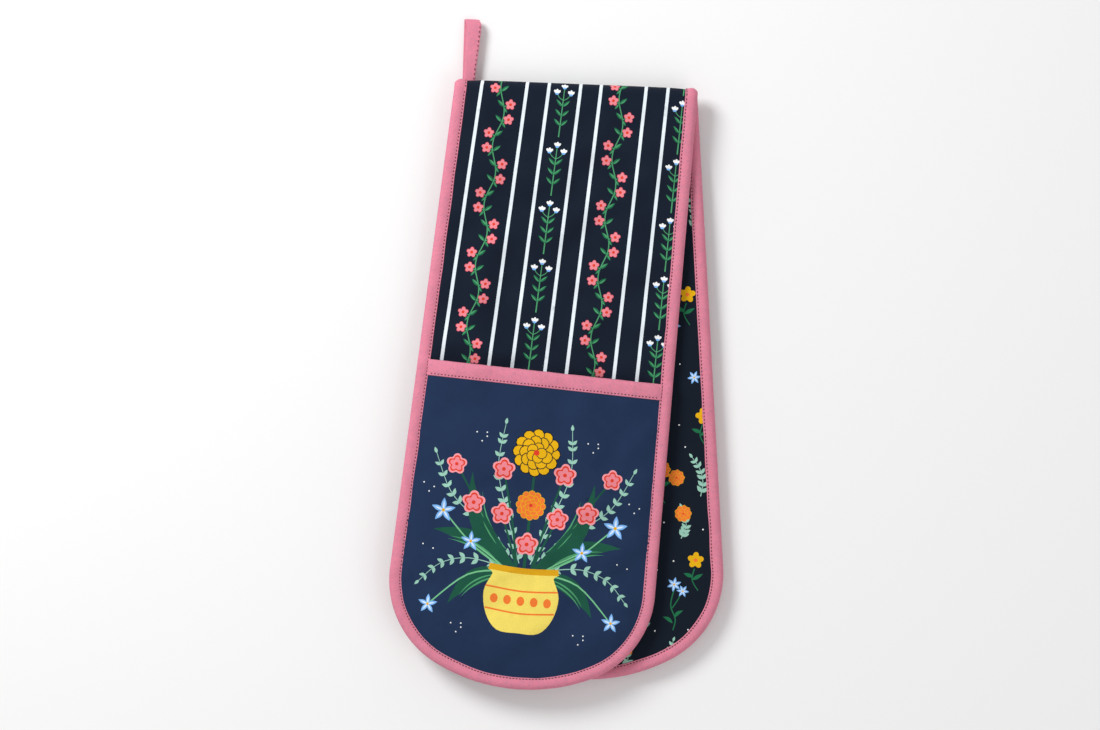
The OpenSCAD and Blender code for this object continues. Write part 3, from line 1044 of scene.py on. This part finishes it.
def mouth_binding(side):
    """The tape folded over a pocket's mouth, and its stitches, each in a left and a right piece."""
    word = WORD[side]
    path = edge_path(side, BINDING_W - 1.2, 2.0)[0]
    right = path[path[:, 0] > 0][::-1]
    reach = float(np.interp(-MOUTH[side], right[:, 1], right[:, 0]))
    start_y = -MOUTH[side] - 0.4
    for hand, name in ((-1, "left"), (1, "right")):
        xs = hand * np.linspace(0, reach, 72)
        down = np.array([0.0, 0.8, 2.4, 4.5, 6.5, 8.2, 9.1, 9.9, 10.4, MOUTH_W])
        rise = np.array([0.0, 0.5, 0.85, 0.95, 0.92, 0.72, 0.5, 0.62, 0.55, 0.1])
        rings, flats = [], []
        for x in xs:
            y = start_y - down
            wob = ripple(x, 31, 26, 8, 0.10)
            level = pocket_top(side, x, y)
            under = pocket_bottom(side, x, y)
            middle = (level[0] + under[0]) / 2
            outer = columns(y - 0.05 * wob, level + rise * (1 + 0.5 * wob))[::-1]
            turn = np.array([(-MOUTH[side] + 0.35, middle + 0.9), (-MOUTH[side] + 0.6 + wob, middle),
                             (-MOUTH[side] + 0.35, middle - 0.9)])
            inner = columns(y, under - rise * 0.8)
            back = np.array([(y[-1] + 0.1, under[-1]), (y[2], under[2]), (y[1], middle), (y[2], level[2]),
                             (y[-1] + 0.1, level[-1])])
            section = np.concatenate([outer, turn, inner, back])
            rings.append(columns(x, section[:, 0], section[:, 1]))
            flats.append(columns(x, lengths_along(section)))
        world = place(side, *np.moveaxis(np.array(rings), -1, 0))
        tape = tube(f"{word}_mouth_tape_{name}", world, flats, tape_cloth, flip=side * hand > 0)
        finished(tape, None, "pink_tape", f"{word}_mouth_binding")
        centres = np.arange(STITCH_PITCH / 2, reach - 1, STITCH_PITCH)
        fall = 9.1 + ripple(centres, 47, 24, 7, 0.08)
        y = start_y - fall
        rows = [row_along(place(side, hand * centres, y, height(side, hand * centres, y)), side * face)
                for face, height in ((1, lift(pocket_top, 0.55)), (-1, lift(pocket_bottom, -0.45)))]
        sewn = stitches(f"{word}_mouth_stitches_{name}", rows)
        finished(sewn, None, "maroon_thread", f"{word}_mouth_stitching")
        for piece in (tape, sewn):
            bow_open(piece)


# ---- the fold
def across_fold(side, height, x):
    """A surface's height along the line where the fold starts."""
    a = turned(side)
    return height(side, x * math.cos(a), -x * math.sin(a))


def fold_layer(name, height, back, slot_name, node, ground, art, facing, r_mid, width):
    """One layer of the strip, bent round the fold. Its flat y runs from 0 at the front half to its length."""
    length = math.pi * r_mid

    def face(offset):
        def at(x, y):
            share = np.clip(1 - y / length, 0, 1)
            h = (across_fold(BACK, offset, x) * (1 - share) + across_fold(FRONT, offset, x) * share)
            return place_bend(x, FOLD_R + h, share * math.pi)
        return at

    xs, ys = np.linspace(-width, width, 60), np.linspace(0, length, 25)
    cut = np.concatenate([columns(xs, 0.0), columns(width, ys[1:-1]), columns(xs[::-1], length),
                          columns(-width, ys[::-1][1:-1])])
    piece = slab(name, cut, art, ground, face(height), face(back), facing, FOLD_GRID)
    finished(piece, None, slot_name, node)
    bend_with_fold(piece)
    return piece


def bend_with_fold(piece):
    """Bakes the piece's placement into its points. The piece runs round the fold from the front half to the
    back half;
    built the other way round, the half turn at the fold's limit goes the wrong way, and the fold's layers come
    through each other."""
    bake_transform(piece)


def fold_cloths():
    """The strip's layers where they bend round the fold."""
    width = FOLD_WIDTH / 2 - TUCK
    fill = fold_layer("fold_wadding_fill", lift(strip_top, -CLOTH_T - 2 * PLY_GAP),
                      lift(strip_bottom, CLOTH_T + 3 * PLY_GAP), "wadding", "fold_wadding", "wadding", [], 1,
                      (TOP_R + BOTTOM_R) / 2, width)
    art = moved_art(striped_art(-8, FOLD_LENGTH + 8), 0, 0, turned(FRONT))
    striped = fold_layer("fold_striped_cloth_panel", strip_top, lift(strip_top, -CLOTH_T), "striped_cotton",
                         "fold_striped_cloth", "striped_ground", art, 1, TOP_R, width)
    floral = fold_layer("fold_floral_cloth_panel", strip_bottom, lift(strip_bottom, CLOTH_T), "floral_cotton",
                        "fold_floral_cloth", "floral_ground", floral_art(0, math.pi * BOTTOM_R), -1,
                        BOTTOM_R, width)
    return striped, floral


def outward(angle):
    """Headings away from the fold's axis."""
    return (place_bend(0.0, 1.0, angle) - place_bend(0.0, 0.0, 0.0)) / MM


def fold_bindings(back_ends, front_ends):
    """The two edge bindings where they bend round the fold."""
    made = []
    steps = 22
    for number, name, hand in ((0, "right", 1), (1, "left", -1)):
        ends = []
        for side, rings in ((BACK, back_ends), (FRONT, front_ends)):
            (x, y, h), a = rings[number].T, turned(side)
            ends.append(columns(x * math.cos(a) - y * math.sin(a), h))
        share = np.linspace(0, 1, steps)[:, None]
        x, h = (ends[0][:, k] * (1 - share) + ends[1][:, k] * share for k in (0, 1))
        world = place_bend(x, FOLD_R + h, share * math.pi)
        flats = columns(share * 18, np.arange(world.shape[1]) * 0.6)
        tape = tube(f"fold_binding_tape_{name}", world, flats, tape_cloth, flip=hand > 0)
        finished(tape, None, "pink_tape", "fold_edge_binding")
        bend_with_fold(tape)
        rows = []
        for face, r in ((1, FOLD_R + 4.5), (-1, FOLD_R + 0.55)):
            count = max(2, int(math.pi * r / STITCH_PITCH))
            angles = (np.arange(count) + 0.5) * math.pi / count
            line = place_bend(hand * (FOLD_WIDTH / 2 - STITCH_E), r, angles)
            rows.append((line, outward(angles + math.pi / 2), outward(angles) * face))
        sewn = stitches(f"fold_edge_stitches_{name}", rows)
        finished(sewn, None, "maroon_thread", "fold_edge_stitching")
        bend_with_fold(sewn)
        made += [tape, sewn]
    return made


# ---- the hanging loop
def hanging_loop():
    """One length of folded tape, out past the fold and back, with a row of stitches along its right edge."""
    low, high = cad("hanging_loop")
    middle = (low[0] + high[0]) / 2
    far, top, bottom = high[1], high[2], low[2]
    root = FOLD[1] - 2.0
    side_view = [(root - 11, top + 0.35), (root, top + 0.1), (root + 14, top - 0.3), (far - 22, top - 0.4),
                 (far - 6, top - 0.5), (far - 1.3, top - 1.5), (far - 0.3, top - 2.6), (far - 1.4, top - 3.7),
                 (far - 6, top - 4.6), (far - 22, top - 4.4), (root + 14, top - 3.4), (root + 3, top - 1.7),
                 (root - 11, top - 0.75)]
    line = through(side_view, False, 10)
    d = unit(np.gradient(line, axis=0))
    n = columns(-d[:, 1], d[:, 0])
    run = lengths_along(line)
    out = smooth((line[:, 0] - root) / (far - root))
    half = 3.95 + 1.4 * out
    tip = run[-1] * 0.46  # how far along the tape it turns back
    lower = smooth((run - tip) / 6)
    centre = middle - 0.8 + 2.2 * out - 2.0 * lower * (0.4 + 0.6 * out)
    across = np.array([-1.0, -0.97, -0.6, 0.0, 0.6, 0.8, 0.97, 1.0, 0.97, 0.6, 0.0, -0.6, -0.97])
    thick = np.array([0.0, 0.32, 0.42, 0.44, 0.42, 0.30, 0.34, 0.0, -0.32, -0.42, -0.44, -0.42, -0.32])
    rings, flats = [], []
    for i in range(len(line)):
        wave = ripple(run[i], 61, 30, 9, 0.10)
        t = thick + wave * np.sin(across * 2)
        rings.append(columns(centre[i] + half[i] * across, *(line[i] + n[i] * t[:, None]).T) * MM)
        flats.append(columns(run[i], across * half[i] + 0.4 * thick))
    tape = tube("hanging_loop_tape", rings, flats, tape_cloth)
    finished(tape, None, "pink_tape", "hanging_loop", "loop_ends")
    spots = np.arange(4.0, tip, 3.4)
    x, y, z = (np.interp(spots, run, each) for each in (centre + half * 0.8, line[:, 0], line[:, 1] + 0.36))
    sewn = stitches("hanging_loop_stitches", [row_along(columns(x, y, z) * MM, 1.0)])
    finished(sewn, None, "maroon_thread", "loop_stitching")
    for piece in (tape, sewn):
        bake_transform(piece)


# ---- stage, light and camera
def stage():
    """A plain pale floor."""
    bpy.ops.mesh.primitive_plane_add(size=8, location=(0, 0, -0.0003))
    floor = bpy.context.object
    floor.name = "floor"
    n = Nodes("pale_floor")
    n.set({"Base Color": linear("f4f4f4"), "Roughness": 0.9, "Specular IOR Level": 0.1})
    floor.data.materials.append(n.material)


def light(name, place_at, size, watts):
    """A round soft lamp that points at the glove."""
    lamp = bpy.data.lights.new(name, "AREA")
    lamp.shape, lamp.size, lamp.energy = "DISK", size, watts
    made = bpy.data.objects.new(name, lamp)
    bpy.context.scene.collection.objects.link(made)
    made.location = place_at
    made.rotation_euler = (-Vector(place_at)).to_track_quat("-Z", "Y").to_euler()


def lights():
    light("key", (-1.1, 1.0, 1.3), 0.8, 27)
    light("fill", (1.1, -0.8, 1.6), 1.6, 6)
    world = bpy.data.worlds.new("studio")
    world.use_nodes = True
    world.node_tree.nodes["Background"].inputs["Color"].default_value = (1, 1, 1, 1)
    world.node_tree.nodes["Background"].inputs["Strength"].default_value = 0.52
    bpy.context.scene.world = world


VIEW_WIDTH = 792.0  # how much of the table the picture spans
CAMERA_HEIGHT = 2200.0
CAMERA_ROLL = math.radians(2.25)
SENSOR_W = 36.0


def camera():
    """Straight above the glove, turned a little, with the fold near the top of the picture."""
    data = bpy.data.cameras.new("camera")
    data.sensor_width = SENSOR_W
    data.lens = SENSOR_W * CAMERA_HEIGHT / VIEW_WIDTH
    data.clip_start, data.clip_end = 0.1, 20
    made = bpy.data.objects.new("camera", data)
    bpy.context.scene.collection.objects.link(made)
    made.location = (-10.8 * MM, -6.9 * MM, (CAMERA_HEIGHT + 20) * MM)
    made.rotation_euler = (0, 0, CAMERA_ROLL)
    bpy.context.scene.camera = made


bpy.context.scene.view_settings.view_transform = "Standard"
camera()
lights()
stage()
fold_layers = fold_cloths()
tapes = {}
for each in (FRONT, BACK):
    strip(each)
    pocket(each)
    tapes[each] = edge_binding(each)
    mouth_binding(each)
bent_tapes = fold_bindings(tapes[BACK][3:], tapes[FRONT][3:])
hanging_loop()

bpy.context.view_layer.update()
